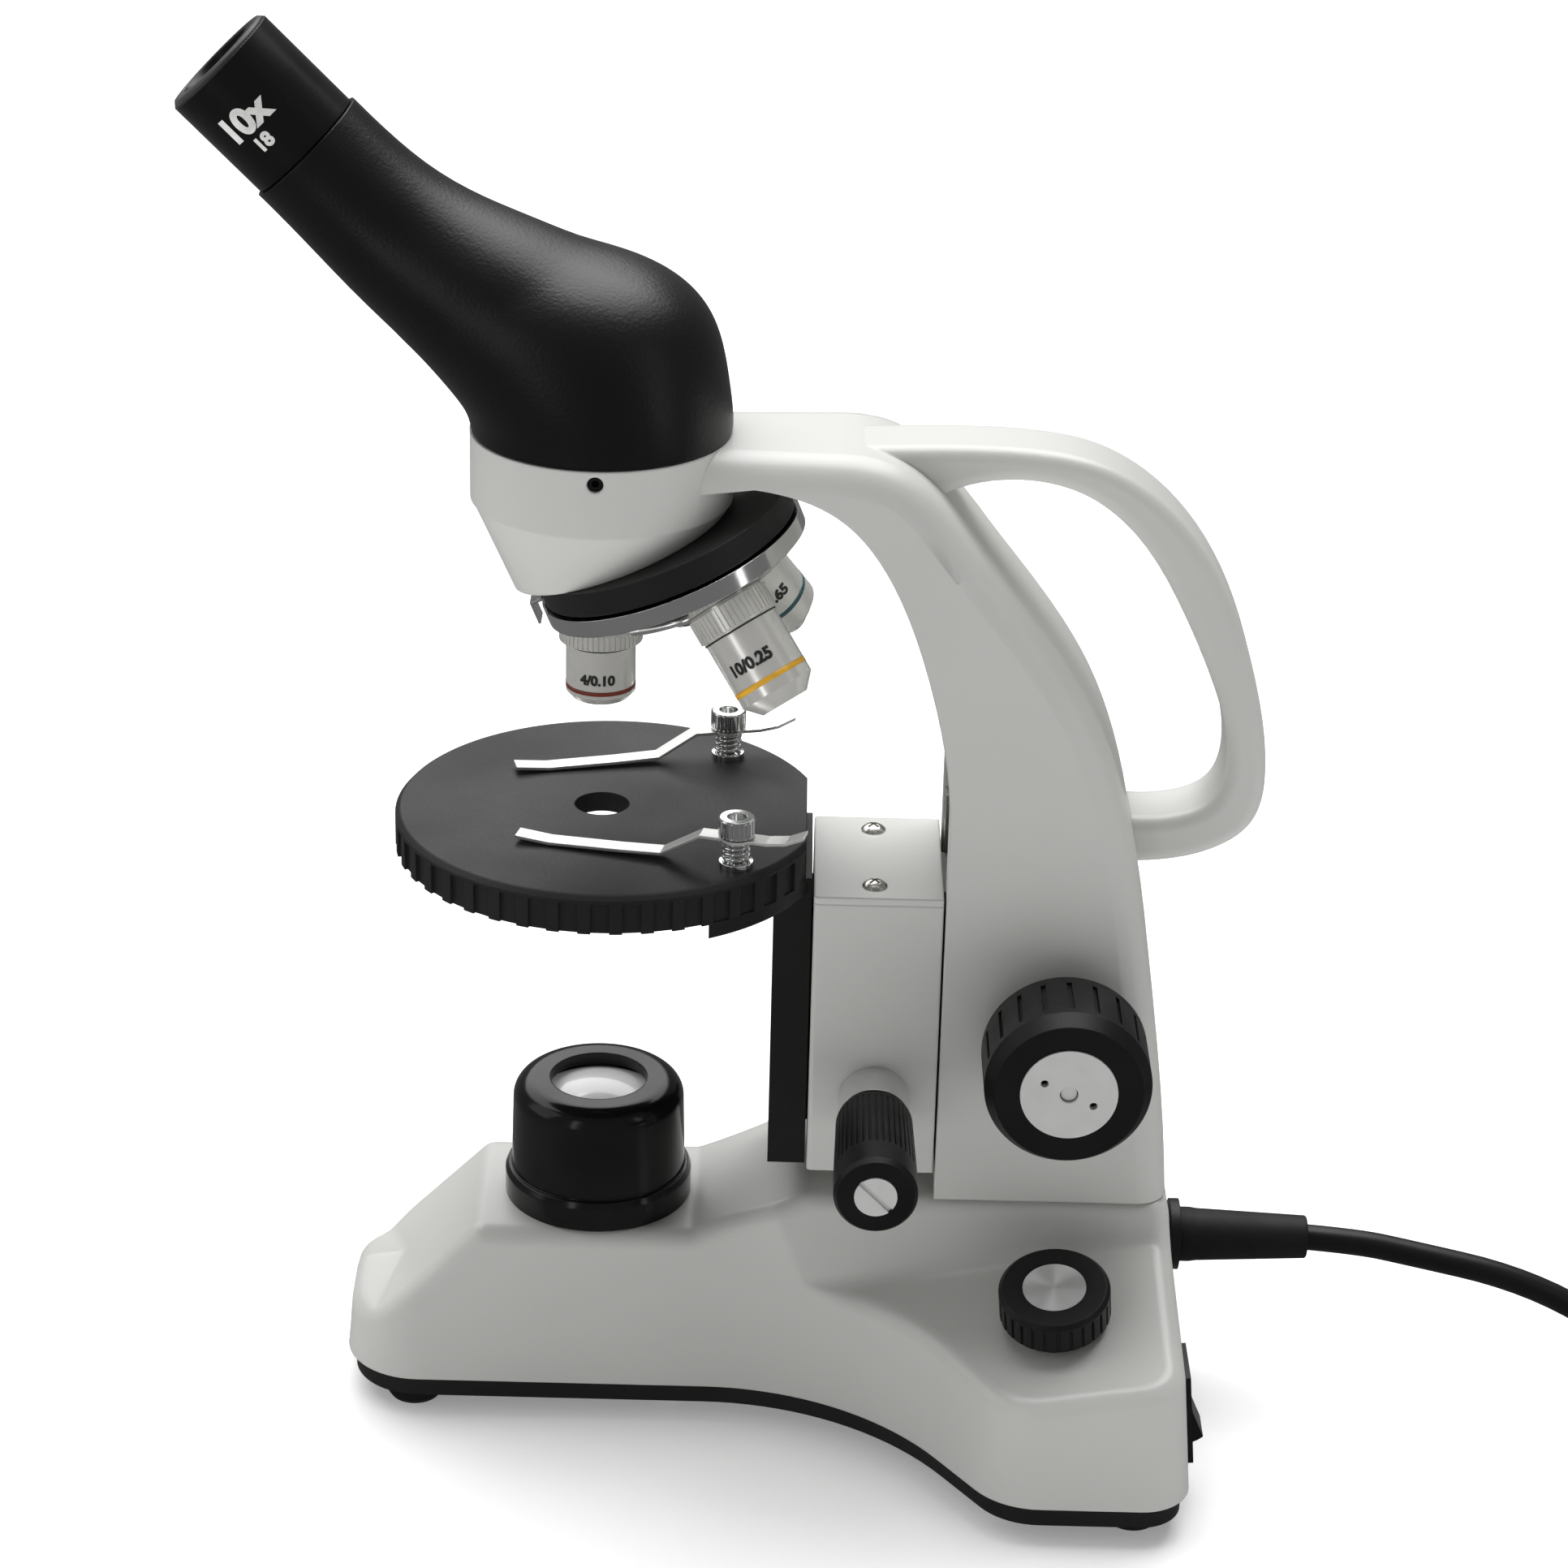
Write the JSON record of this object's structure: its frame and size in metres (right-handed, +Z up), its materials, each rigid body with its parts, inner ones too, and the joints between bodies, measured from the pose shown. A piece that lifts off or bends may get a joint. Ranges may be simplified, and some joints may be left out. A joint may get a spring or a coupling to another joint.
{
  "type": "monocular compound microscope",
  "caption": "Upright student microscope with inclined eyepiece head, triple turning nosepiece, round focusing stage, built-in lamp in a flared base, and a mains lead.",
  "frame": {"origin": "middle of the footprint at the bottom of the feet, lead left out", "axes": "+Z up; +X to the back, where the lead leaves; the eyepiece leans to -X; +Y to the left of a user at the eyepiece"},
  "size_m": [0.4687, 0.2753, 0.3681],
  "materials": {
    "white_paint": "satin enamel on a casting",
    "black_paint": "fine textured black enamel",
    "black_plastic": "moulded, satin",
    "black_gloss": "moulded, glossy",
    "rubber": "matte",
    "chrome": "polished plate",
    "satin_metal": "satin turned",
    "aluminium": "spun face",
    "steel": "bright steel",
    "brass": "turned",
    "glass": "polished lens",
    "frosted_glass": "frosted lens",
    "core_steel": "laminated",
    "circuit": "board",
    "lead": "flexible lead",
    "ceramic": "lamp socket"
  },
  "bodies": {
    "stand": {"base_casting": "white_paint", "base_plate": "black_paint", "rubber_feet": "rubber", "plate_screws": "steel", "arm_casting": "white_paint", "arm_fixing_screws": "steel", "head_set_screw": "steel", "nosepiece_base": "black_paint", "nosepiece_pivot": "chrome", "detent_spring": "chrome", "slide_guides": "steel", "shaft_bushes": "brass", "lamp_housing": "black_gloss", "lamp_lens": "frosted_glass", "lamp_holder": "ceramic", "lamp_bulb": "glass", "transformer": "core_steel", "circuit_board": "circuit", "brightness_control": "steel", "switch_body": "black_plastic", "cord_gland": "black_plastic", "strain_relief": "rubber", "mains_lead": "lead", "mains_lead_coil": "lead", "mains_lead_tail": "lead", "mains_plug": "black_plastic", "plug_pins": "chrome"},
    "head": {"head_shell": "black_paint", "head_dovetail": "satin_metal", "head_prism": "glass", "eyepiece_tube": "satin_metal"},
    "eyepiece": {"eyepiece_body": "black_plastic", "eye_and_field_lens": "glass"},
    "nosepiece": {"nosepiece_plate": "chrome", "objective_4x": "satin_metal", "objective_10x": "satin_metal", "objective_40x": "satin_metal", "objective_lenses": "glass"},
    "high_power_nose": {"objective_40x_nose": "satin_metal", "lens_40x": "glass"},
    "focus_block": {"block_housing": "white_paint", "block_lid": "white_paint", "lid_screws": "steel", "focus_rack": "brass", "fine_sleeves": "chrome"},
    "stage_carrier": {"stage_disc": "black_paint", "stage_bracket": "black_paint", "clip_screws": "chrome", "clip_springs": "steel"},
    "near_clip": {"clip_near": "satin_metal"},
    "far_clip": {"clip_far": "satin_metal"},
    "coarse_drive": {"coarse_shaft": "steel", "coarse_knobs": "black_plastic", "coarse_discs": "aluminium"},
    "fine_drive": {"fine_shaft": "steel", "fine_knobs": "black_plastic", "fine_caps": "chrome"},
    "brightness_dial": {"brightness_knob": "black_plastic", "brightness_cap": "aluminium"},
    "rocker": {"power_rocker": "black_gloss"}
  },
  "joints": [
    {"name": "head_turn", "type": "hinge", "parent": "stand", "child": "head", "pos_m": [-0.0334, 0, 0.26], "axis": [0, 0, 1], "continuous": true},
    {"name": "eyepiece_slide", "type": "slide", "parent": "head", "child": "eyepiece", "axis": [-0.7071, 0, 0.7071], "range_m": [0, 0.03]},
    {"name": "nosepiece_turn", "type": "hinge", "parent": "stand", "child": "nosepiece", "pos_m": [-0.01641, 0, 0.23628], "axis": [-0.3827, 0, 0.9239], "continuous": true},
    {"name": "high_power_spring", "type": "slide", "parent": "nosepiece", "child": "high_power_nose", "axis": [-0.5303, -0.3314, 0.7803], "range_m": [0, 0.0015], "stiffness_N_per_m": 400, "springref_m": -0.0005},
    {"name": "coarse_focus", "type": "slide", "parent": "stand", "child": "focus_block", "axis": [0, 0, 1], "range_m": [-0.0055, 0.0175]},
    {"name": "coarse_knob_turn", "type": "hinge", "parent": "stand", "child": "coarse_drive", "pos_m": [0.0861, 0, 0.11725], "axis": [0, 1, 0], "range_deg": [-60, 190]},
    {"name": "fine_knob_turn", "type": "hinge", "parent": "focus_block", "child": "fine_drive", "pos_m": [0.0386, 0, 0.0965], "axis": [0, 1, 0], "range_deg": [-450, 450]},
    {"name": "fine_focus", "type": "slide", "parent": "focus_block", "child": "stage_carrier", "axis": [0, 0, 1], "range_m": [-0.00074, 0.00074]},
    {"name": "near_clip_turn", "type": "hinge", "parent": "stage_carrier", "child": "near_clip", "pos_m": [0.0021, -0.0352, 0.167], "axis": [0, 0, 1], "range_deg": [-25, 25]},
    {"name": "far_clip_turn", "type": "hinge", "parent": "stage_carrier", "child": "far_clip", "pos_m": [-0.0014, 0.032, 0.167], "axis": [0, 0, 1], "range_deg": [-25, 25]},
    {"name": "brightness_turn", "type": "hinge", "parent": "stand", "child": "brightness_dial", "pos_m": [0.0866, -0.0513, 0.0477], "axis": [-0.0863, -0.2686, 0.9594], "range_deg": [-270, 0]},
    {"name": "rocker_tilt", "type": "hinge", "parent": "stand", "child": "rocker", "pos_m": [0.11927, -0.055, 0.02616], "axis": [0, 1, 0], "range_deg": [0, 18]}
  ],
  "couplings": [
    {"joint": "coarse_knob_turn", "follows": "coarse_focus", "rad_per_m": 185.19},
    {"joint": "fine_knob_turn", "follows": "fine_focus", "rad_per_m": 10472}
  ]
}
